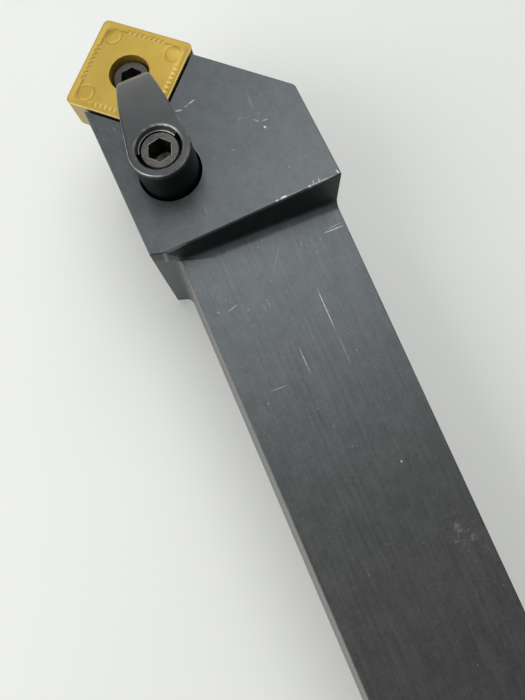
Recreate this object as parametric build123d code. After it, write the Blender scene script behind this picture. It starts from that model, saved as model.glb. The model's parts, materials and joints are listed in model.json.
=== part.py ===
from build123d import *
import math
import os

# Turning tool holder, right hand, for an indexable square insert at 45 degrees.
# Millimetres. +X runs along the shank to the cutting end, +Y to the cutting side, +Z up.
# The origin is the centre of the shank's underside, between its rear end and the step.

# ---- driving dimensions ----
# shank
SHANK_W = 32.0
SHANK_H = 32.0              # also the height of the cutting edge above the underside
TOOL_LENGTH = 170.0         # rear end to the foremost point of the insert
OVERHANG = 8.0              # outermost point of the insert, beyond the shank's left side
HEAD_LENGTH = 49.2          # step's top edge at the right side, to the foremost point of the insert
REAR_CHAMFER = 1.2
EDGE_BREAK = 0.25           # head's top edges and the shank's two upper long edges

# head: angles in degrees
STEP_LEAN = 13.0            # step wall leans back from the vertical
STEP_TURN = 0.8             # step wall, seen from above, off square
STEP_FOOT_R = 2.0
SHOULDER_ANGLE = 18.0       # shoulder face, seen from above, off square
SHOULDER_R = 1.8
SHOULDER_START = 1.2        # shoulder meets the shank side this far behind the step edge
FLANK_OUT = 4.9             # left flank beyond the shank's left side, at the step's top edge
FLANK_TAPER = 2.0           # left flank widens towards the front
FLANK_LEAN = 2.5            # left flank leans in towards the underside
FRONT_ANGLE = 44.0          # right-hand front face, seen from above
FRONT_SETBACK = 1.5         # that face lies this far behind the insert's edge line
FRONT_LEAN = 3.0
RELIEF_SETBACK = 0.9        # face under the cutting edge, behind that edge at the pocket floor
RELIEF_LEAN = 7.0
FRONT_CORNER_R = 1.6        # upright edge between the right side and the front face
CORNER_NICK = 0.5           # knocked corner where top, step wall and right side meet

# insert and its seat
INSERT_SIZE = 19.05         # side of the square
INSERT_T = 6.35
INSERT_HOLE_D = 7.93
NOSE_R = 1.2
RAKE = 9.5                  # seat tilts down towards the cutting edge
INSERT_PROUD = 0.4          # insert's face above the head's top face
SHIM_T = 4.76
SHIM_INSET = 0.45           # shim's edge inside the insert's edge
SHIM_CORNER_R = 1.9
SEAT_GAP = 0.02             # insert to the pocket's locating walls
WALL_RELIEF = 0.5           # gap beside the insert, above the locating band
LOCATING_BAND = 3.4         # height of the band that touches the insert
CORNER_RELIEF_D = 3.4

# chip breaker moulded in both faces of the insert
LAND_W = 0.30
BREAKER_W = 1.15            # foot of the outer slope to the cutting edge
BREAKER_DEPTH = 0.24
PLATEAU_INSET = 1.45        # plateau's rim to the cutting edge
RING_INSET = 2.95           # centre of each corner ring to both edges
RING_R = 1.68
RING_W = 0.6                # mouth of the ring's V-shaped groove
RING_DEPTH = 0.14
RIB_PITCH = 0.66
RIB_COUNT = 13
RIB_W = 0.5                 # foot of each roof-shaped rib
RIB_L = 0.7
RIB_DROP = 0.05             # ridge of the ribs below the insert's face
RIB_INSET = 1.35            # middle of each rib to the cutting edge

# lock pin
PIN_HEAD_D = 7.2
PIN_SUNK = 1.3              # pin's top below the insert's face
PIN_HEAD_CHAMFER = 0.25
PIN_COLLAR_D = 10.0
PIN_COLLAR_H = 2.2
PIN_THREAD_D = 8.0
PIN_LENGTH = 21.0
PIN_HOLE_DEPTH = 14.0       # tapped hole below the pocket floor
SHIM_BORE_DEPTH = 2.6       # counterbore for the pin's collar
COLLAR_CLEARANCE = 0.3      # round the collar, in the shim

# clamp and its double-ended screw
CLAMP_BACK = 22.42          # screw axis behind the insert's centre, in plan
CLAMP_ASIDE = 0.38          # screw axis to the left of the insert's centre, in plan
CLAMP_TURN = -2.3           # arm's direction in plan, off the shank's
CLAMP_H = 8.0               # clamp's top above the head's top face
CLAMP_BOSS_D = 11.0
CLAMP_BOSS_DEPTH = 9.5
CLAMP_REACH = 17.9
CLAMP_TIP_W = 6.4
CLAMP_TIP_H = 4.2           # height of the tip above the head's top face
TIP_CORNER_R = 1.0
CLAMP_EDGE_R = 0.45         # worn round along the clamp's top edges
CLAMP_FLAT = 6.0            # flat round the screw, ahead of its axis
NOSE_PAD = 2.8              # length of the pad that bears on the insert
PAD_SLOPE = 1.2             # slope from the pad up to the relieved underside
ARM_CLEAR = 1.4             # underside of the arm above the head
RECESS_GAP = 0.5            # round the boss, in the head
RECESS_ROOM = 2.5           # below the clamped boss
SCREW_D = 8.0
SCREW_LENGTH = 32.0
SCREW_SUNK = 1.0            # screw's end below the clamp's top
SCREW_NECK_D = 6.4          # plain neck between the two threads
SCREW_NECK_L = 3.0
THREAD_GAP = 0.05           # radial, screw to its tapped holes
DRILL_POINT = 0.6           # depth of a drilled point, to its radius
COUNTERSINK_D = 8.7
HEX_AF = 4.0
HEX_DEPTH = 4.2
PIN_HEX_TURN = 22.0         # how the hexagons happen to stand
SCREW_HEX_TURN = -17.0
END_CHAMFER = 0.75

# ---- derived places ----
REAR_X = -(TOOL_LENGTH - HEAD_LENGTH) / 2
STEP_X = -REAR_X
RIGHT_Y = -SHANK_W / 2
LEFT_Y = SHANK_W / 2
MARGIN = 15.0               # overshoot of cutting bodies

rake = math.radians(RAKE)
half_insert = INSERT_SIZE / 2
half_diagonal = half_insert * (1 + math.cos(rake)) / math.sqrt(2)
nose_loss = NOSE_R * (math.sqrt(2) - 1)
insert_centre = Vector(
    REAR_X + TOOL_LENGTH + nose_loss - half_diagonal,
    LEFT_Y + OVERHANG + nose_loss - half_diagonal,
    SHANK_H + half_insert * math.sin(rake),
)
along_edge = Vector(1, -1, 0).normalized()
seat_normal = Vector(math.sin(rake), math.sin(rake), math.cos(rake) * math.sqrt(2)).normalized()

# seat frame: origin on the insert's face, local X along the cutting edge, local +Y towards it
seat = Plane(origin=insert_centre, x_dir=along_edge, z_dir=seat_normal)
head_top = seat.offset(-INSERT_PROUD)
SEAT_FLOOR = -(INSERT_T + SHIM_T)


def on_head_top(x, y):
    """Point of the head's top face above a place in plan."""
    n, o = head_top.z_dir, head_top.origin
    return Vector(x, y, o.Z - (n.X * (x - o.X) + n.Y * (y - o.Y)) / n.Z)


def direction(turn, lean):
    """Unit vector at an angle from +X in plan, pitched up by lean."""
    a, b = math.radians(turn), math.radians(lean)
    return Vector(math.cos(a) * math.cos(b), math.sin(a) * math.cos(b), math.sin(b))


clamp_foot = on_head_top(insert_centre.X - CLAMP_BACK, insert_centre.Y + CLAMP_ASIDE)
arm_heading = clamp_foot + direction(CLAMP_TURN, 0)
arm_point = on_head_top(arm_heading.X, arm_heading.Y)
# clamp frame: origin on the head's top face, local X along the arm, local Z along the screw
clamp_frame = Plane(origin=clamp_foot, x_dir=arm_point - clamp_foot, z_dir=seat_normal)


# ---- helpers ----
def cylinder(radius, bottom, top):
    return Pos(0, 0, bottom) * Cylinder(
        radius, top - bottom, align=(Align.CENTER, Align.CENTER, Align.MIN)
    )


def hex_socket(mouth, turn, facing):
    """Hexagonal recess with a drilled point; facing is +1 for a socket open upwards."""
    apothem = HEX_AF / 2
    hexagon = RegularPolygon(apothem, 6, major_radius=False, rotation=turn)
    prism = extrude(hexagon, -facing * HEX_DEPTH)
    cone_h = apothem / math.sqrt(3)
    point = Cone(0, apothem, cone_h, align=(Align.CENTER, Align.CENTER, Align.MIN))
    if facing < 0:
        point = Rot(180, 0, 0) * point
    point = Pos(0, 0, -facing * (HEX_DEPTH + cone_h)) * point
    return Pos(0, 0, mouth) * (prism + point)


def keep_inside(solid, point, outward):
    """Trim a solid with the plane through a point, dropping what lies outside."""
    return split(solid, bisect_by=Plane(origin=point, z_dir=outward), keep=Keep.BOTTOM)


def near(edge, x=None, y=None, z=None, tol=0.6):
    c = edge.center()
    return all(v is None or abs(w - v) < tol for v, w in ((x, c.X), (y, c.Y), (z, c.Z)))


# ---- holder body: forged and ground in one piece ----
def head_block():
    """Raised head: a block trimmed by its inclined top, step, shoulder and flanks."""
    length = HEAD_LENGTH + 2 * MARGIN
    block = Pos(STEP_X - MARGIN, RIGHT_Y, 0) * Box(
        length, SHANK_W + OVERHANG + MARGIN, SHANK_H + MARGIN,
        align=(Align.MIN, Align.MIN, Align.MIN),
    )
    step_edge = on_head_top(STEP_X, RIGHT_Y)
    flank_edge = on_head_top(STEP_X, LEFT_Y + FLANK_OUT)
    shoulder_foot = Vector(STEP_X - SHOULDER_START, LEFT_Y, 0)
    front_line = seat.from_local_coords((half_insert - FRONT_SETBACK, 0, 0))
    relief_line = seat.from_local_coords((0, half_insert - RELIEF_SETBACK, SEAT_FLOOR))
    for point, outward in (
        (head_top.origin, head_top.z_dir),
        (step_edge, direction(180 - STEP_TURN, STEP_LEAN)),
        (shoulder_foot, direction(180 - SHOULDER_ANGLE, 0)),
        (flank_edge, direction(90 + FLANK_TAPER, -FLANK_LEAN)),
        (front_line, direction(FRONT_ANGLE - 90, -FRONT_LEAN)),
        (relief_line, direction(45, -RELIEF_LEAN)),
    ):
        block = keep_inside(block, point, outward)
    right_side = block.edges().filter_by(lambda e: near(e, y=RIGHT_Y, tol=0.01))
    block = fillet(right_side.sort_by(Axis.X)[-1], FRONT_CORNER_R)
    top = max(block.faces(), key=lambda f: f.normal_at().dot(head_top.z_dir) * f.area)
    block = chamfer(top.edges(), EDGE_BREAK)
    nick = step_edge + Vector(CORNER_NICK, 0, 0)
    return keep_inside(block, nick, direction(225, 35))


def shank():
    bar = Pos(REAR_X, 0, 0) * Box(
        STEP_X - REAR_X + HEAD_LENGTH / 4, SHANK_W, SHANK_H,
        align=(Align.MIN, Align.CENTER, Align.MIN),
    )
    rear = bar.faces().sort_by(Axis.X)[0]
    return chamfer(rear.edges(), REAR_CHAMFER)


def pocket():
    """Everything removed above and round the insert and shim, in the seat frame."""
    reach = INSERT_SIZE + 2 * MARGIN
    corner = -half_insert

    def open_corner(gap, bottom):
        return Pos(corner - gap, corner - gap, bottom) * Box(
            reach, reach, MARGIN - bottom, align=(Align.MIN, Align.MIN, Align.MIN)
        )

    band_top = -INSERT_T + LOCATING_BAND
    corner_drill = Pos(corner, corner, 0) * cylinder(CORNER_RELIEF_D / 2, SEAT_FLOOR, MARGIN)
    return open_corner(SEAT_GAP, SEAT_FLOOR) + open_corner(WALL_RELIEF, band_top) + corner_drill


def pin_hole():
    """Tapped blind hole for the lock pin, in the seat frame."""
    radius = PIN_THREAD_D / 2 + THREAD_GAP
    bottom = SEAT_FLOOR - PIN_HOLE_DEPTH
    point = Pos(0, 0, bottom - radius * DRILL_POINT) * Cone(
        0, radius, radius * DRILL_POINT, align=(Align.CENTER, Align.CENTER, Align.MIN)
    )
    return cylinder(radius, bottom, SEAT_FLOOR + 1) + point


def clamp_recess():
    """Round recess for the clamp's boss and the tapped hole below it, in the clamp frame."""
    boss_r = CLAMP_BOSS_D / 2 + RECESS_GAP
    floor = -(CLAMP_BOSS_DEPTH + RECESS_ROOM)
    drill = cylinder(SCREW_D / 2 + THREAD_GAP, -2 * SHANK_H, floor + 1)
    return cylinder(boss_r, floor, MARGIN) + drill


def make_holder():
    body = shank() + head_block()
    foot = [e for e in body.edges() if near(e, z=SHANK_H, tol=0.01)
            and abs(e.center().X - STEP_X) < 5 and e.length > SHANK_W * 0.8]
    body = fillet(foot, STEP_FOOT_R)
    shoulder = [e for e in body.edges().filter_by(Axis.Z)
                if near(e, y=LEFT_Y, tol=0.01) and abs(e.center().X - STEP_X) < 5]
    body = fillet(shoulder, SHOULDER_R)
    long_top = [e for e in body.edges().filter_by(Axis.X)
                if near(e, z=SHANK_H, tol=0.01) and e.length > TOOL_LENGTH / 2]
    body = fillet(long_top, EDGE_BREAK)
    body -= seat * pocket()
    body -= seat * pin_hole()
    body -= clamp_frame * clamp_recess()
    return body


# ---- insert ----
def breaker_ribs():
    """Rows of small ribs that cross the inner slope of the groove on all four sides."""
    roof = make_face(Polyline((-RIB_W / 2, -BREAKER_DEPTH), (RIB_W / 2, -BREAKER_DEPTH),
                              (0, -RIB_DROP), close=True))
    rib = extrude(Plane.XZ * roof, RIB_L / 2, both=True)
    return Part() + [
        Rot(0, 0, 90 * quarter) * Pos(0, half_insert - RIB_INSET) * loc * rib
        for quarter in range(4)
        for loc in GridLocations(RIB_PITCH, 0, RIB_COUNT, 1)
    ]


def make_insert():
    """Double-sided square insert, its chip breaker pressed in both faces."""
    blank = extrude(RectangleRounded(INSERT_SIZE, INSERT_SIZE, NOSE_R), -INSERT_T)

    def rounded(inset, z):
        side = INSERT_SIZE - 2 * inset
        return Pos(0, 0, z) * RectangleRounded(side, side, max(NOSE_R - inset, 0.35))

    outer = loft([rounded(LAND_W, 0), rounded(BREAKER_W, -BREAKER_DEPTH)])
    plateau = loft([rounded(PLATEAU_INSET, 0), rounded(BREAKER_W, -BREAKER_DEPTH)])
    groove = outer - plateau
    side = half_insert - RING_INSET
    vee = make_face(Polyline((RING_R - RING_W / 2, 0), (RING_R + RING_W / 2, 0),
                             (RING_R, -RING_DEPTH), close=True))
    ring = revolve(Plane.XZ * vee, Axis.Z)
    rings = Part() + [loc * ring for loc in GridLocations(2 * side, 2 * side, 2, 2)]
    relief = groove - breaker_ribs() + rings
    hole = cylinder(INSERT_HOLE_D / 2, -INSERT_T, 0)
    return blank - relief - Pos(0, 0, -INSERT_T) * Rot(180, 0, 0) * relief - hole


def make_shim():
    side = INSERT_SIZE - 2 * SHIM_INSET
    plate = extrude(RectangleRounded(side, side, SHIM_CORNER_R), -SHIM_T)
    thread_r = PIN_THREAD_D / 2 + COLLAR_CLEARANCE
    collar_r = PIN_COLLAR_D / 2 + COLLAR_CLEARANCE
    plate -= cylinder(thread_r, -SHIM_T, 0) + cylinder(collar_r, -SHIM_BORE_DEPTH, 0)
    return Pos(0, 0, -INSERT_T) * plate


def make_lock_pin():
    """Pin through insert and shim; its collar holds the shim down."""
    collar_bottom = -(INSERT_T + SHIM_BORE_DEPTH)
    head = chamfer(
        cylinder(PIN_HEAD_D / 2, collar_bottom, -PIN_SUNK).edges().group_by(Axis.Z)[-1],
        PIN_HEAD_CHAMFER,
    )
    collar = cylinder(PIN_COLLAR_D / 2, collar_bottom, collar_bottom + PIN_COLLAR_H)
    thread = cylinder(PIN_THREAD_D / 2, -PIN_SUNK - PIN_LENGTH, collar_bottom)
    thread = chamfer(thread.edges().group_by(Axis.Z)[0], END_CHAMFER)
    return head + collar + thread - hex_socket(-PIN_SUNK, PIN_HEX_TURN, 1)


# ---- clamp ----
def arm_profile():
    """Side view of the arm in the XZ plane: crowned top, relieved underside, nose pad."""
    back, front = -CLAMP_BOSS_D / 2 - 1, CLAMP_REACH + 1
    pad_start = CLAMP_REACH - NOSE_PAD
    with BuildSketch(Plane.XZ) as profile:
        with BuildLine():
            top = Line((back, CLAMP_H), (CLAMP_FLAT, CLAMP_H))
            crown = TangentArc(top @ 1, (CLAMP_REACH, CLAMP_TIP_H), tangent=(1, 0))
            Polyline(crown @ 1, (front, CLAMP_TIP_H), (front, INSERT_PROUD), (pad_start, INSERT_PROUD),
                     (pad_start - PAD_SLOPE, ARM_CLEAR), (back, ARM_CLEAR), top @ 0)
        make_face()
    return profile.sketch


def arm_outline():
    """Plan of the arm: tangents from the round end to the tip."""
    end_r, half = CLAMP_BOSS_D / 2, CLAMP_TIP_W / 2
    touch = math.atan2(half, CLAMP_REACH) + math.acos(end_r / math.hypot(CLAMP_REACH, half))
    tx, ty = end_r * math.cos(touch), end_r * math.sin(touch)
    taper = make_face(Polyline((tx, -ty), (CLAMP_REACH, -half), (CLAMP_REACH, half), (tx, ty),
                               close=True))
    taper = fillet(taper.vertices().group_by(Axis.X)[-1], TIP_CORNER_R)
    return Circle(end_r) + taper


def make_clamp():
    end_r = CLAMP_BOSS_D / 2
    arm = extrude(arm_outline(), CLAMP_H) & extrude(arm_profile(), CLAMP_BOSS_D, both=True)
    clamp = arm + cylinder(end_r, -CLAMP_BOSS_DEPTH, CLAMP_H)
    rim = [e for e in clamp.edges() if e.center().Z > CLAMP_TIP_H - 0.5
           and e.bounding_box().min.Z > CLAMP_TIP_H - 0.5]
    clamp = fillet(rim, CLAMP_EDGE_R)
    bore_r = SCREW_D / 2 + THREAD_GAP
    sink = COUNTERSINK_D / 2 - bore_r
    clamp -= cylinder(bore_r, -CLAMP_BOSS_DEPTH, CLAMP_H)
    clamp -= Pos(0, 0, CLAMP_H) * Cone(bore_r, bore_r + sink, sink,
                                       align=(Align.CENTER, Align.CENTER, Align.MAX))
    return clamp


def make_screw():
    """Double-ended clamping screw: right and left hand threads, a hexagon in each end."""
    top = CLAMP_H - SCREW_SUNK
    bottom = top - SCREW_LENGTH
    neck_top = -CLAMP_BOSS_DEPTH - 0.5
    rod = cylinder(SCREW_D / 2, bottom, top)
    rod = chamfer(rod.edges().filter_by(GeomType.CIRCLE), END_CHAMFER)
    neck = cylinder(SCREW_D, neck_top - SCREW_NECK_L, neck_top) - cylinder(
        SCREW_NECK_D / 2, neck_top - SCREW_NECK_L, neck_top)
    sockets = hex_socket(top, SCREW_HEX_TURN, 1) + hex_socket(bottom, SCREW_HEX_TURN, -1)
    return rod - neck - sockets


# ---- build and export ----
nodes = {
    "holder_body": make_holder(),
    "shim_seat": seat * make_shim(),
    "cutting_insert": seat * make_insert(),
    "lock_pin": seat * make_lock_pin(),
    "top_clamp": clamp_frame * make_clamp(),
    "clamp_screw": clamp_frame * make_screw(),
}
os.makedirs("parts", exist_ok=True)
for name, shape in nodes.items():
    solid = shape.solids()[0] if len(shape.solids()) == 1 else shape
    solid.label = name
    export_step(solid, f"parts/{name}.step")
    print(name, round(shape.volume, 1), len(shape.solids()), shape.bounding_box())
print("screw axis", clamp_frame.origin, clamp_frame.z_dir, "arm", clamp_frame.x_dir)
print("seat", seat.origin, seat.z_dir)
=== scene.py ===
import bpy
import json
import math
from mathutils import Matrix, Vector

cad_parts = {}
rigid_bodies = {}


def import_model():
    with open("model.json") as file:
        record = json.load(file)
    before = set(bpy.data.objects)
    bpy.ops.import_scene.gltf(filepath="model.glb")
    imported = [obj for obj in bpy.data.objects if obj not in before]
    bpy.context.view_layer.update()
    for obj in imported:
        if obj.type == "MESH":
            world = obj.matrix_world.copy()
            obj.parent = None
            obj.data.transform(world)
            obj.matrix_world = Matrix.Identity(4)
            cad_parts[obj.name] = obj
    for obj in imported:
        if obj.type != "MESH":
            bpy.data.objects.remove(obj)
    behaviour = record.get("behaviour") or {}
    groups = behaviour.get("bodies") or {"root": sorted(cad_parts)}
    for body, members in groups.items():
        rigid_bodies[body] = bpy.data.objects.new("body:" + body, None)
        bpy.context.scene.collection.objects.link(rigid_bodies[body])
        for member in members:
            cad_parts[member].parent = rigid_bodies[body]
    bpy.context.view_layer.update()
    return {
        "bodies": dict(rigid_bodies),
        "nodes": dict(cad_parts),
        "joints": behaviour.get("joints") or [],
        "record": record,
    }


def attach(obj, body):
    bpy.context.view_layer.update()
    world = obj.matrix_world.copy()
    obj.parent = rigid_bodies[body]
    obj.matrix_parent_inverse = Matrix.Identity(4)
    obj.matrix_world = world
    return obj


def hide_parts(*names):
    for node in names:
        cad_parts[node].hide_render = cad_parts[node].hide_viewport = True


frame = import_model()
nodes = frame["nodes"]
joints = {joint["name"]: joint for joint in frame["joints"]}

MM = 0.001

# ---- sizes in millimetres ----
SHANK_H = 32.0
CLAMP_TURN = -2.3           # degrees, arm's direction in plan
CLAMP_TOP = 8.0             # above the head's top face
CLAMP_REACH = 17.9          # tip, ahead of the screw's axis
SCREW_END = 7.0             # screw's upper end, above the head's top face
CLAMP_BORE_R = 4.05         # also the tapped hole under the clamp
INSERT_SIDE = 19.05
INSERT_T = 6.35
INSERT_HOLE_R = 3.965
NOSE_R = 1.2
EDGE_HONE = 0.03            # fall of the rounded cutting edge
# steps of each face inwards: distance to the edge, and rise or fall from the last
FACE_STEPS = ((0.07, EDGE_HONE), (0.30, 0), (1.00, -0.19), (1.22, 0), (1.66, 0.19))
RING_PLACE = 6.55           # corner rings, from the insert's middle lines
RING_R = 1.68
RING_CUTTER_R = 0.30
RING_CUTTER_UP = 0.16       # cutter's middle above the face
RIB_COUNT = 8
RIB_PITCH = 1.03
RIB_SIZE = (0.70, 0.86, 0.24)
RIB_PLACE = 8.22            # middle of a rib, from the insert's middle line
RIB_DEPTH = 0.215           # middle of a rib, below the face
RIB_ROUND = 0.12
THREAD_PITCH = 1.0
THREAD_TOOTH = 0.42         # half the radial size of the ridge's three-sided profile
THREAD_MIDDLE_R = 3.92
THREAD_CREST_R = THREAD_MIDDLE_R - THREAD_TOOTH
THREAD_FOOT = 0.55          # half the ridge's height, as a share of the pitch
THREAD_STEPS = 28           # to a turn
HOLE_BOTTOM = -34.9         # lowest turn in the tapped hole

# the head's top face slopes down towards the insert; the clamp and the insert stand square to it
SLOPE_NORMAL = Vector(joints["screw_turn"]["axis"]).normalized()


def standing_frame(origin, turn):
    """Frame on the sloping top: local X on the slope, at an angle from +X in plan, local Z square to it."""
    x, y = math.cos(math.radians(turn)), math.sin(math.radians(turn))
    along = Vector((x, y, -(SLOPE_NORMAL.x * x + SLOPE_NORMAL.y * y) / SLOPE_NORMAL.z)).normalized()
    across = SLOPE_NORMAL.cross(along)
    axes = Matrix((along, across, SLOPE_NORMAL)).transposed()
    return Matrix.Translation(Vector(origin)) @ axes.to_4x4()


CLAMP_FRAME = standing_frame(joints["screw_turn"]["pos_m"], CLAMP_TURN)
SEAT_FRAME = standing_frame(joints["pin_turn"]["pos_m"], -45)


# ---- shader arithmetic ----
class Wire:
    """An output socket of a material, with arithmetic and a way to add nodes."""

    def __init__(self, tree, socket):
        self.tree, self.socket = tree, socket

    def node(self, kind, settings=None, values=None, out=0):
        """Add a node: its settings first, then the values or links of its sockets."""
        made = self.tree.nodes.new(kind)
        for name, value in (settings or {}).items():
            setattr(made, name, value)
        for name, value in (values or {}).items():
            if isinstance(value, Wire):
                self.tree.links.new(value.socket, made.inputs[name])
            else:
                made.inputs[name].default_value = value
        return Wire(self.tree, made.outputs[out])

    def math(self, operation, *others):
        return self.node("ShaderNodeMath", {"operation": operation}, dict(enumerate((self, *others))))

    def __add__(self, other):
        return self.math("ADD", other)

    def __sub__(self, other):
        return self.math("SUBTRACT", other)

    def __rsub__(self, other):
        return self.node("ShaderNodeMath", {"operation": "SUBTRACT"}, {0: other, 1: self})

    def __mul__(self, other):
        return self.math("MULTIPLY", other)

    __radd__, __rmul__ = __add__, __mul__

    def size(self):
        return self.math("ABSOLUTE")

    def larger(self, other):
        return self.math("MAXIMUM", other)

    def rise(self, low, high, top=1.0):
        """0 at low, top at high, smooth between; high may be the smaller."""
        return self.node(
            "ShaderNodeMapRange", {"interpolation_type": "SMOOTHSTEP"},
            {"Value": self, "From Min": low, "From Max": high, "To Max": top},
        )

    def band(self, low, rise_to, fall_from, high):
        """1 between rise_to and fall_from, 0 outside low and high."""
        return self.rise(low, rise_to) * self.rise(high, fall_from)

    def turned(self, place=(0, 0, 0), turn=(0, 0, 0), scale=(1, 1, 1), kind="POINT"):
        return self.node("ShaderNodeMapping", {"vector_type": kind},
                         {"Vector": self, "Location": place, "Rotation": turn, "Scale": scale})

    def noise(self, scale, detail=3, roughness=0.5, stretch=(1, 1, 1), turn=(0, 0, 0)):
        grain = self.turned(turn=turn, scale=stretch)
        return self.node("ShaderNodeTexNoise", {},
                         {"Vector": grain, "Scale": scale, "Detail": detail, "Roughness": roughness})

    def local(self, frame):
        """Place in millimetres in a frame."""
        return self.turned(frame.to_translation(), frame.to_euler(), (MM, MM, MM), "TEXTURE")

    def axis(self, which):
        return self.node("ShaderNodeSeparateXYZ", {}, {"Vector": self}, which)

    def vector(self, operation, other, out="Value"):
        return self.node("ShaderNodeVectorMath", {"operation": operation}, {0: self, 1: other}, out)

    def length(self):
        return self.vector("LENGTH", (0, 0, 0))

    def spread(self):
        """Distance from the local Z axis."""
        return self.vector("MULTIPLY", (1, 1, 0), "Vector").length()

    def blend(self, low, high):
        """Mix of two colours, low where this is 0 and high where it is 1."""
        values = {0: self}
        for slot, colour in ((6, low), (7, high)):
            values[slot] = colour if isinstance(colour, Wire) else (*colour, 1)
        return self.node("ShaderNodeMix", {"data_type": "RGBA"}, values, 2)


def new_finish(name):
    """An empty material, its place in Object coordinates, and its principled shader."""
    material = bpy.data.materials.new(name)
    material.use_nodes = True
    tree = material.node_tree
    shader = tree.nodes["Principled BSDF"]
    place = Wire(tree, None).node("ShaderNodeTexCoord", {}, {}, "Object")
    return material, place, shader


def feed(place, shader, **sockets):
    """Set or link sockets of the shader, underscores standing for spaces."""
    for name, value in sockets.items():
        target = shader.inputs[name.replace("_", " ")]
        if isinstance(value, Wire):
            place.tree.links.new(value.socket, target)
        elif isinstance(value, tuple):
            target.default_value = (*value, 1)
        else:
            target.default_value = value


def relief(place, height, depth, **sockets):
    """Bump of a height field, depth in metres."""
    return place.node("ShaderNodeBump", {}, {"Height": height, "Distance": depth, **sockets}, "Normal")


def rounded_normal(place, radius):
    """Normal of the surface with its edges softened."""
    return place.node("ShaderNodeBevel", {"samples": 6}, {"Radius": radius}, "Normal")


def facing(place, direction):
    """Cosine between the surface and a direction."""
    return place.node("ShaderNodeNewGeometry", {}, {}, "Normal").vector("DOT_PRODUCT", direction)


def edge_wear(place, radius):
    """0 on flat faces, rising where the surface turns within the radius."""
    return 1 - facing(place, rounded_normal(place, radius))


def stroke(place, start, end, width, bareness):
    """Bareness along a straight scratch between two plan points in millimetres, pointed at its ends."""
    (x0, y0), (x1, y1) = start, end
    half_length = math.hypot(x1 - x0, y1 - y0) / 2
    local = place.turned(((x0 + x1) / 2 * MM, (y0 + y1) / 2 * MM, 0), (0, 0, math.atan2(y1 - y0, x1 - x0)),
                         (half_length * MM, width / 2 * MM, 1), kind="TEXTURE")
    return local.length().rise(1.15, 0.6, bareness)


# ---- finishes ----
BARE_STEEL = (0.46, 0.46, 0.45)
GRAIN_DEPTH = 0.006 * MM

# two plan points and the width in millimetres, then how bare
SHANK_SCRATCHES = [
    ((44.77, -5.50), (35.90, -5.46), 0.17, 1.0),
    ((35.90, -5.47), (28.00, -5.51), 0.12, 0.42),
    ((35.51, 2.21), (30.13, 2.16), 0.15, 0.85),
    ((53.85, -11.01), (53.86, -15.49), 0.20, 0.75),
    ((54.27, -11.83), (54.56, -15.38), 0.13, 0.45),
    ((46.74, 11.93), (47.43, 9.42), 0.14, 0.6),
    ((30.14, 10.34), (29.96, 6.90), 0.14, 0.55),
    ((46.23, 4.04), (44.79, 4.05), 0.14, 0.55),
    ((45.64, 5.11), (43.78, 5.10), 0.12, 0.35),
    ((54.70, -6.53), (52.93, -6.16), 0.14, 0.28),
    ((55.71, -3.00), (49.28, 1.89), 0.14, 0.16),
    ((9.20, -6.50), (8.80, -6.80), 0.45, 1.0),
]
HEAD_SCRATCHES = [
    # scuff beside the clamp's arm
    ((85.35, 6.24), (84.93, 4.79), 0.45, 0.65),
    ((85.26, 4.36), (85.39, 3.54), 0.26, 0.5),
    ((85.51, 3.49), (85.95, 1.85), 0.30, 0.75),
    # on the top face
    ((82.97, -7.36), (78.49, -7.02), 0.16, 0.22),
    ((77.37, -6.04), (76.29, -7.06), 0.24, 0.4),
    ((76.18, -7.51), (76.11, -8.78), 0.24, 0.45),
    ((78.57, -3.66), (78.49, -4.72), 0.2, 0.3),
    ((75.12, -7.40), (74.50, -7.60), 0.45, 0.8),
    ((73.22, -0.52), (73.02, -0.64), 0.25, 0.7),
    ((65.38, 8.51), (63.17, 8.55), 0.12, 0.3),
    # knocks along the step's edge
    ((60.54, -8.90), (60.62, -15.20), 0.36, 0.55),
    ((60.55, -3.00), (60.60, -9.00), 0.22, 0.25),
    ((59.98, 19.60), (60.05, 13.80), 0.30, 0.35),
    ((60.63, -4.30), (60.72, -5.55), 0.5, 1.0),
    ((60.60, -3.30), (60.66, -3.90), 0.3, 0.9),
    ((60.50, -9.55), (60.62, -10.15), 0.6, 1.0),
    ((60.50, -10.61), (61.55, -10.94), 0.16, 0.6),
    ((60.50, -11.68), (61.39, -11.92), 0.18, 0.7),
    ((61.50, -15.30), (60.60, -15.60), 0.3, 0.8),
]


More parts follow.
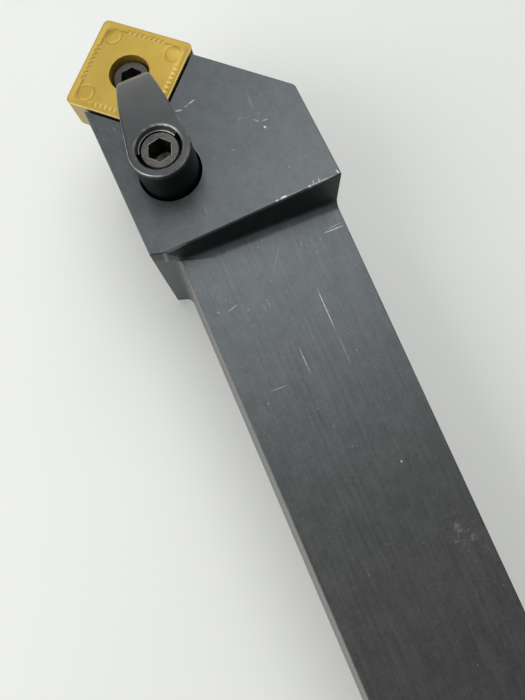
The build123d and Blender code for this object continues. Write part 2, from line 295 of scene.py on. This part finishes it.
def oxide_steel():
    """Blued steel of the holder: ground lengthwise, scuffed, bare on its edges, with painted shade on the
    step's wall and a painted reflection of the floor on its left side.
    """
    material, place, shader = new_finish("oxide_steel")
    blued = (0.086, 0.094, 0.098), (0.124, 0.135, 0.141)
    browned = (0.104, 0.103, 0.099), (0.140, 0.139, 0.133)
    dried_coolant, step_wall_shade, left_side_reflection = (0.27, 0.26, 0.235), (0.022, 0.022, 0.022), (0.27, 0.265, 0.25)
    shank_top = SHANK_H * MM

    on_shank = place.axis(2).rise(shank_top + 0.6 * MM, shank_top + 0.1 * MM)
    grain = place.noise(1.0, 3, 0.55, (60, 1500, 1500), (0, 0, 0.02))
    mottle = place.noise(330, 5, 0.62)
    fine = place.noise(2200, 2, 0.5)
    tone = mottle * 0.55 + fine * 0.45 + (grain - 0.5) * on_shank * 0.55
    to_the_rear = place.axis(0).rise(45 * MM, -20 * MM) * 0.75
    oxide = to_the_rear.blend(tone.rise(0.25, 0.75).blend(*blued), tone.rise(0.25, 0.75).blend(*browned))

    smudge = place.turned((-7.8 * MM, -11.8 * MM, shank_top), (0, 0, 0.35), (5.6 * MM, 3.4 * MM, 1),
                          "TEXTURE")
    smudge = smudge.length().rise(1.2, 0.3) * place.noise(700, 4, 0.6).rise(0.52, 0.64)
    oxide = (smudge * 0.7).blend(oxide, dried_coolant)
    # painted shade: the step's wall, which faces away from the lamps, made near black above the shank's top
    step_wall = facing(place, (-1, 0, 0)).rise(0.3, 0.7)
    step_wall = step_wall * place.axis(2).rise(shank_top + 0.4 * MM, shank_top + 1.0 * MM) * 0.6
    oxide = step_wall.blend(oxide, step_wall_shade)
    # painted reflection of the pale floor on the side that faces +Y, mottled
    left_side = facing(place, (0, 1, 0)).rise(0.6, 0.95) * (0.3 + mottle * 0.5)
    oxide = left_side.blend(oxide, left_side_reflection)

    scratched = None
    for scratch in SHANK_SCRATCHES + HEAD_SCRATCHES:
        one = stroke(place, *scratch)
        scratched = one if scratched is None else scratched.larger(one)
    scratched = scratched * place.noise(1700, 3, 0.6).rise(0.30, 0.46)
    scratched = scratched * place.axis(2).rise(shank_top - 0.4 * MM, shank_top - 0.2 * MM)
    specks = place.noise(1150, 2, 0.5).rise(0.71, 0.77) * 0.28
    wear = edge_wear(place, 0.2 * MM).rise(0.05, 0.35) * place.noise(260, 4, 0.65).rise(0.40, 0.58)
    bare = scratched.larger(specks).larger(wear * 0.6)

    height = 0.5 * grain * on_shank + 0.5 * mottle - bare
    feed(place, shader, Base_Color=bare.blend(oxide, BARE_STEEL), Metallic=1.0, Roughness=0.40 + 0.14 * tone,
         Normal=relief(place, height, GRAIN_DEPTH))
    return material


def gold_coating():
    """Titanium nitride on the pressed and sintered insert, its edges and ribs soft, with painted highlights
    on its rim and ribs and painted shade on the sides in the pocket.
    """
    material, place, shader = new_finish("gold_coating")
    gold = (0.53, 0.375, 0.084), (0.60, 0.425, 0.098)
    gold_highlight, flank_gold, gap_shade = (0.80, 0.68, 0.36), (0.44, 0.42, 0.34), (0.02, 0.018, 0.012)
    half_side = INSERT_SIDE / 2

    fine = place.noise(3200, 4, 0.6)
    cloud = place.noise(200, 3, 0.5)
    local = place.local(SEAT_FRAME)
    row_end = RIB_COUNT * RIB_PITCH / 2
    ribs = None
    for along, across in ((local.axis(0), local.axis(1).size()), (local.axis(1), local.axis(0).size())):
        row = (along * (2 * math.pi / RIB_PITCH)).math("COSINE").rise(0.3, -0.8)
        row = row * across.band(RIB_PLACE - 0.52, RIB_PLACE - 0.27, RIB_PLACE + 0.13, RIB_PLACE + 0.38)
        row = row * along.size().rise(row_end + 0.18, row_end - 0.12)
        ribs = row if ribs is None else ribs.larger(row)

    # distance from the middle, up to the nearest side
    reach = local.axis(0).size().larger(local.axis(1).size())
    rim = reach.rise(half_side - 0.2, half_side - 0.07) * local.axis(2).rise(-0.5, -0.1)
    colour = (0.5 * cloud + 0.5 * fine).rise(0.35, 0.65).blend(*gold)
    # painted highlight: paler gold along the rim of the face and on the ribs
    colour = (rim * 0.55).larger(ribs * 0.38).blend(colour, gold_highlight)
    below = local.axis(2).rise(-0.3, -0.6)
    colour = (reach.rise(half_side - 0.2, half_side - 0.03) * below * 0.5).blend(colour, flank_gold)
    # the two sides that the pocket's walls hide, one of them only in part, get painted shade, near black
    # below the face
    left_wall = local.axis(0).rise(-half_side + 0.09, -half_side + 0.03) * local.axis(1).rise(5.2, 4.4)
    right_wall = local.axis(1).rise(-half_side + 0.09, -half_side + 0.03)
    colour = (left_wall.larger(right_wall) * below * 0.9).blend(colour, gap_shade)

    feed(place, shader, Base_Color=colour, Metallic=1.0, Roughness=0.54 + 0.10 * fine,
         Normal=relief(place, fine, GRAIN_DEPTH, Normal=rounded_normal(place, 0.35 * MM)))
    return material


def ground_carbide():
    """Bare ground carbide of the shim."""
    material, place, shader = new_finish("ground_carbide")
    grain = place.noise(1.0, 4, 0.6, (300, 300, 3000))
    colour = grain.rise(0.3, 0.7).blend((0.42, 0.43, 0.43), (0.58, 0.59, 0.59))
    feed(place, shader, Base_Color=colour, Metallic=1.0, Roughness=0.25 + 0.15 * grain,
         Normal=relief(place, grain, 0.005 * MM))
    return material


def dark_steel(name, low, high, roughness, edge, wear_radius):
    """Blackened steel of the small parts, bright where it has rubbed."""
    material, place, shader = new_finish(name)
    fine = place.noise(2000, 4, 0.6)
    cloud = place.noise(260, 3, 0.55)
    oxide = (0.5 * fine + 0.5 * cloud).rise(0.32, 0.68).blend(low, high)
    wear = edge_wear(place, wear_radius).rise(0.03, 0.25) * place.noise(700, 4, 0.6).rise(0.3, 0.6)
    feed(place, shader, Base_Color=wear.blend(oxide, edge), Metallic=1.0, Roughness=roughness + 0.16 * cloud,
         Normal=relief(place, fine, GRAIN_DEPTH))
    return material


def clamp_steel_with_painted_light():
    """Blued steel of the clamp: bare steel round its top edge, partly wear and partly painted highlight;
    painted highlights on the mouth of its bore and on its thread's crest; painted light along its arm;
    lighter on its tip; painted shade on its boss's wall and in its bore.
    """
    material, place, shader = new_finish("clamp_steel")
    blued = (0.068, 0.072, 0.074), (0.090, 0.095, 0.097)
    painted_arm_light, tip_tone, steel_wear_and_highlight = (0.20, 0.208, 0.208), (0.40, 0.38, 0.32), (0.50, 0.50, 0.50)
    bore_shade, boss_wall_shade = (0.012, 0.012, 0.012), (0.010, 0.010, 0.010)

    local = place.local(CLAMP_FRAME)
    along, height = local.axis(0), local.axis(2)
    up = facing(place, tuple(SLOPE_NORMAL))
    fine = place.noise(2000, 4, 0.6)
    cloud = place.noise(260, 3, 0.55)
    patch = place.noise(900, 4, 0.6).rise(0.35, 0.6)

    oxide = (0.5 * fine + 0.5 * cloud).rise(0.32, 0.68).blend(*blued)
    # painted light: the arm made lighter towards its tip
    oxide = along.rise(4.5, 13).blend(oxide, painted_arm_light)
    inside = local.spread().rise(CLAMP_BORE_R + 0.15, CLAMP_BORE_R - 0.05)
    inside = inside * height.rise(SCREW_END - 1.0, SCREW_END - 0.6)
    # painted shade in the bore below the screw's end
    oxide = (inside * 0.8).blend(oxide, bore_shade)
    round_end = along.rise(7, 3.5)
    # painted shade on the wall of the round end, below its top
    oxide = (height.rise(CLAMP_TOP - 0.5, CLAMP_TOP - 1.6) * round_end * 0.88).blend(oxide, boss_wall_shade)

    # bare steel along the rounded top edge, in patches: partly wear, partly painted highlight
    rim = up.band(0.25, 0.45, 0.72, 0.9) * round_end * 0.8
    rim = rim + up.band(0.3, 0.5, 0.62, 0.75) * (1 - round_end) * 0.5
    # painted highlight on the mouth of the bore
    mouth = local.spread().band(CLAMP_BORE_R + 0.07, CLAMP_BORE_R + 0.2, CLAMP_BORE_R + 0.35,
                                CLAMP_BORE_R + 0.55)
    mouth = mouth * height.rise(CLAMP_TOP - 0.7, CLAMP_TOP - 0.4) * 0.08
    # lighter and browner on the upward faces of the tip
    tip = along.rise(CLAMP_REACH - 1.6, CLAMP_REACH - 1.1) * up.rise(-0.1, 0.3) * 0.85
    # painted highlight on the thread's crest in the bore
    crest = local.spread().band(THREAD_CREST_R - 0.1, THREAD_CREST_R - 0.02, THREAD_CREST_R + 0.06,
                                THREAD_CREST_R + 0.16) * inside * 0.5
    bare = (rim * (0.4 + patch * 0.6) * (1 - inside)).larger(mouth * patch).larger(crest)
    colour = bare.blend(oxide, steel_wear_and_highlight)
    colour = (tip * (0.5 + patch * 0.5)).blend(colour, tip_tone)
    feed(place, shader, Base_Color=colour, Metallic=1.0, Roughness=0.40 + 0.16 * cloud - bare * 0.12,
         Normal=relief(place, fine, GRAIN_DEPTH))
    return material


def pin_steel():
    return dark_steel("pin_steel", (0.07, 0.07, 0.07), (0.11, 0.11, 0.105), 0.36, (0.4, 0.4, 0.39), 0.2 * MM)


def screw_steel():
    return dark_steel("screw_steel", (0.055, 0.054, 0.052), (0.12, 0.117, 0.108), 0.34, (0.42, 0.41, 0.39),
                      0.3 * MM)


finishes = {
    "holder_body": oxide_steel(),
    "cutting_insert": gold_coating(),
    "shim_seat": ground_carbide(),
    "lock_pin": pin_steel(),
    "top_clamp": clamp_steel_with_painted_light(),
    "clamp_screw": screw_steel(),
}
for name, material in finishes.items():
    mesh = nodes[name].data
    mesh.materials.clear()
    mesh.materials.append(material)


# ---- modelling by hand ----
def to_object():
    bpy.ops.object.mode_set(mode="OBJECT")


def to_edit(select="SELECT"):
    bpy.ops.object.mode_set(mode="EDIT")
    bpy.ops.mesh.select_all(action=select)


def take(*pieces):
    """Select these objects alone, the last one active."""
    bpy.ops.object.select_all(action="DESELECT")
    for piece in pieces:
        piece.select_set(True)
        bpy.context.view_layer.objects.active = piece


def apply_place():
    bpy.ops.object.transform_apply(location=True, rotation=True, scale=True)


def join(*pieces):
    take(*pieces)
    bpy.ops.object.join()
    return bpy.context.object


def set_in(piece, frame, smooth_angle, material):
    """Move a finished piece into its frame, smooth it and give it its material."""
    take(piece)
    piece.matrix_world = frame
    apply_place()
    bpy.ops.object.shade_smooth_by_angle(angle=math.radians(smooth_angle))
    piece.data.materials.clear()
    piece.data.materials.append(material)


# ---- cutting insert ----
def insert_blank():
    """Square block with rounded corners and a land, groove and plateau in each face."""
    middle = (0, 0, -INSERT_T / 2 * MM)
    bpy.ops.mesh.primitive_cube_add(size=MM, location=middle)
    blank = bpy.context.object
    blank.name = "pressed_insert"
    blank.scale = (INSERT_SIDE, INSERT_SIDE, INSERT_T - 2 * EDGE_HONE)
    apply_place()
    to_edit("DESELECT")
    bpy.ops.mesh.select_mode(type="EDGE")
    to_object()
    for edge in blank.data.edges:
        a, b = (blank.data.vertices[i].co for i in edge.vertices)
        edge.select = abs(a.z - b.z) > MM
    bpy.ops.object.mode_set(mode="EDIT")
    bpy.ops.mesh.bevel(offset=NOSE_R * MM, segments=8)
    bpy.ops.mesh.select_mode(type="FACE")
    for side in (1, -1):
        to_edit("DESELECT")
        to_object()
        for face in blank.data.polygons:
            face.select = face.normal.z * side > 0.9
        bpy.ops.object.mode_set(mode="EDIT")
        last = 0
        for reach, rise in FACE_STEPS:
            factor = (INSERT_SIDE - 2 * reach) / (INSERT_SIDE - 2 * last)
            bpy.ops.mesh.extrude_region_move()
            bpy.ops.transform.resize(value=(factor, factor, 1), center_override=middle)
            bpy.ops.transform.translate(value=(0, 0, side * rise * MM))
            last = reach
        to_object()
    return blank


def ring_and_hole_cutters():
    """A thin torus over each corner of both faces, and the hole's cylinder."""
    cutters = []
    for height in (RING_CUTTER_UP, -INSERT_T - RING_CUTTER_UP):
        for x in (-RING_PLACE, RING_PLACE):
            for y in (-RING_PLACE, RING_PLACE):
                bpy.ops.mesh.primitive_torus_add(
                    location=(x * MM, y * MM, height * MM), major_radius=RING_R * MM,
                    minor_radius=RING_CUTTER_R * MM, major_segments=36, minor_segments=12)
                cutters.append(bpy.context.object)
    bpy.ops.mesh.primitive_cylinder_add(vertices=64, radius=INSERT_HOLE_R * MM, depth=2 * INSERT_T * MM,
                                        location=(0, 0, -INSERT_T / 2 * MM))
    cutters.append(bpy.context.object)
    return cutters


def cut_away(body, cutters):
    """Take the joined cutters away from a body."""
    cutter = join(*cutters)
    take(body)
    cut = body.modifiers.new("cut", "BOOLEAN")
    cut.operation, cut.solver, cut.object = "DIFFERENCE", "EXACT", cutter
    bpy.ops.object.modifier_apply(modifier="cut")
    bpy.data.objects.remove(cutter)


def rib_rows():
    """Rounded ribs across the inner slope of the groove, on all sides of both faces."""
    first = -RIB_PITCH * (RIB_COUNT - 1) / 2
    bpy.ops.mesh.primitive_cube_add(size=MM, location=(first * MM, RIB_PLACE * MM, -RIB_DEPTH * MM))
    ribs = bpy.context.object
    ribs.scale = RIB_SIZE
    apply_place()
    to_edit()
    bpy.ops.mesh.bevel(offset=RIB_ROUND * MM, segments=2)
    to_object()
    row = ribs.modifiers.new("row", "ARRAY")
    row.use_relative_offset, row.use_constant_offset = False, True
    row.count, row.constant_offset_displace = RIB_COUNT, (RIB_PITCH * MM, 0, 0)
    bpy.ops.object.modifier_apply(modifier="row")
    to_edit()
    for _ in range(3):
        bpy.ops.mesh.duplicate()
        bpy.ops.transform.rotate(value=math.pi / 2, orient_axis="Z", center_override=(0, 0, 0))
    bpy.ops.mesh.select_all(action="SELECT")
    bpy.ops.mesh.duplicate()
    bpy.ops.transform.rotate(value=math.pi, orient_axis="X", center_override=(0, 0, -INSERT_T / 2 * MM))
    to_object()
    return ribs


def press_insert():
    """Insert with its moulded chip breaker."""
    bpy.ops.object.select_all(action="DESELECT")
    insert = insert_blank()
    cut_away(insert, ring_and_hole_cutters())
    insert = join(rib_rows(), insert)
    set_in(insert, SEAT_FRAME, 35, finishes["cutting_insert"])
    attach(insert, "holder")
    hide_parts("cutting_insert")


# ---- threads ----
def thread_ridge(name, bottom, turns, start, material):
    """Thread ridge inside a hole on the clamp's axis, from a height upwards; start is in degrees."""
    bpy.ops.object.select_all(action="DESELECT")
    bpy.ops.mesh.primitive_circle_add(vertices=3, fill_type="NOTHING",
                                      rotation=(math.pi / 2, -math.pi / 2, 0))
    ridge = bpy.context.object
    ridge.name = name
    bpy.ops.object.transform_apply(location=False, rotation=True, scale=True)
    to_edit()
    profile = (THREAD_TOOTH * MM, MM, THREAD_FOOT * THREAD_PITCH * MM)
    bpy.ops.transform.resize(value=profile, center_override=(0, 0, 0))
    bpy.ops.transform.translate(value=(THREAD_MIDDLE_R * MM, 0, bottom * MM))
    bpy.ops.transform.rotate(value=math.radians(start), orient_axis="Z", center_override=(0, 0, 0))
    to_object()
    helix = ridge.modifiers.new("helix", "SCREW")
    helix.axis = "Z"
    helix.angle = 2 * math.pi * turns
    helix.screw_offset = THREAD_PITCH * turns * MM
    helix.steps = helix.render_steps = round(THREAD_STEPS * turns)
    helix.use_merge_vertices = False
    bpy.ops.object.modifier_apply(modifier="helix")
    to_edit()
    bpy.ops.mesh.fill_holes(sides=3)
    bpy.ops.mesh.normals_make_consistent(inside=False)
    to_object()
    set_in(ridge, CLAMP_FRAME, 30, material)
    return ridge


def thread_clamp_bore():
    """The one thread in the clamp's bore that shows above the screw's end."""
    ridge = thread_ridge("clamp_bore_thread", SCREW_END, 0.42, 66, finishes["top_clamp"])
    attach(ridge, "clamp")


def thread_tapped_hole():
    """Thread below the screw, seen from underneath."""
    ridge = thread_ridge("tapped_hole_thread", HOLE_BOTTOM, 8.7, 0, finishes["holder_body"])
    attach(ridge, "holder")


press_insert()
thread_clamp_bore()
thread_tapped_hole()


# ---- floor, light and camera ----
LIT_SPOT = (0.04, 0, 0.02)
LAMP_SIZE = 0.5


def make_floor():
    bpy.ops.mesh.primitive_plane_add(size=4, location=(0, 0, 0))
    floor = bpy.context.object
    floor.name = "floor"
    material, place, shader = new_finish("pale_floor")
    tint = place.noise(6, 3, 0.5)
    feed(place, shader, Base_Color=tint.blend((0.80, 0.81, 0.78), (0.84, 0.85, 0.82)), Roughness=0.6)
    floor.data.materials.append(material)


def add_lamp(name, place, power):
    """Square soft lamp that points at the part."""
    bpy.ops.object.light_add(type="AREA", location=place)
    lamp = bpy.context.object
    lamp.name = name
    lamp.data.size = LAMP_SIZE
    lamp.data.energy = power
    x, y, z = (spot - own for spot, own in zip(LIT_SPOT, place))
    lamp.rotation_euler = (math.atan2(math.hypot(x, y), -z), 0, math.atan2(y, x) - math.pi / 2)


def light_room():
    """Even light from all round."""
    world = bpy.data.worlds.new("studio")
    bpy.context.scene.world = world
    world.use_nodes = True
    background = world.node_tree.nodes["Background"]
    background.inputs["Color"].default_value = (0.98, 1.0, 1.0, 1)
    background.inputs["Strength"].default_value = 0.35


def set_camera():
    bpy.ops.object.camera_add(
        location=(0.028667, 0.019420, 0.128137),
        rotation=[math.radians(angle) for angle in (7.452, -3.740, -113.439)],
    )
    camera = bpy.context.object
    camera.data.sensor_width = 36
    camera.data.lens = 27.076
    camera.data.clip_start = 0.005
    bpy.context.scene.camera = camera
    bpy.context.scene.view_settings.view_transform = "Standard"


make_floor()
add_lamp("soft_key", (0.276, -0.11, 0.54), 1.9)
add_lamp("soft_fill", (0.0, 0.50, 0.36), 2.1)
light_room()
set_camera()
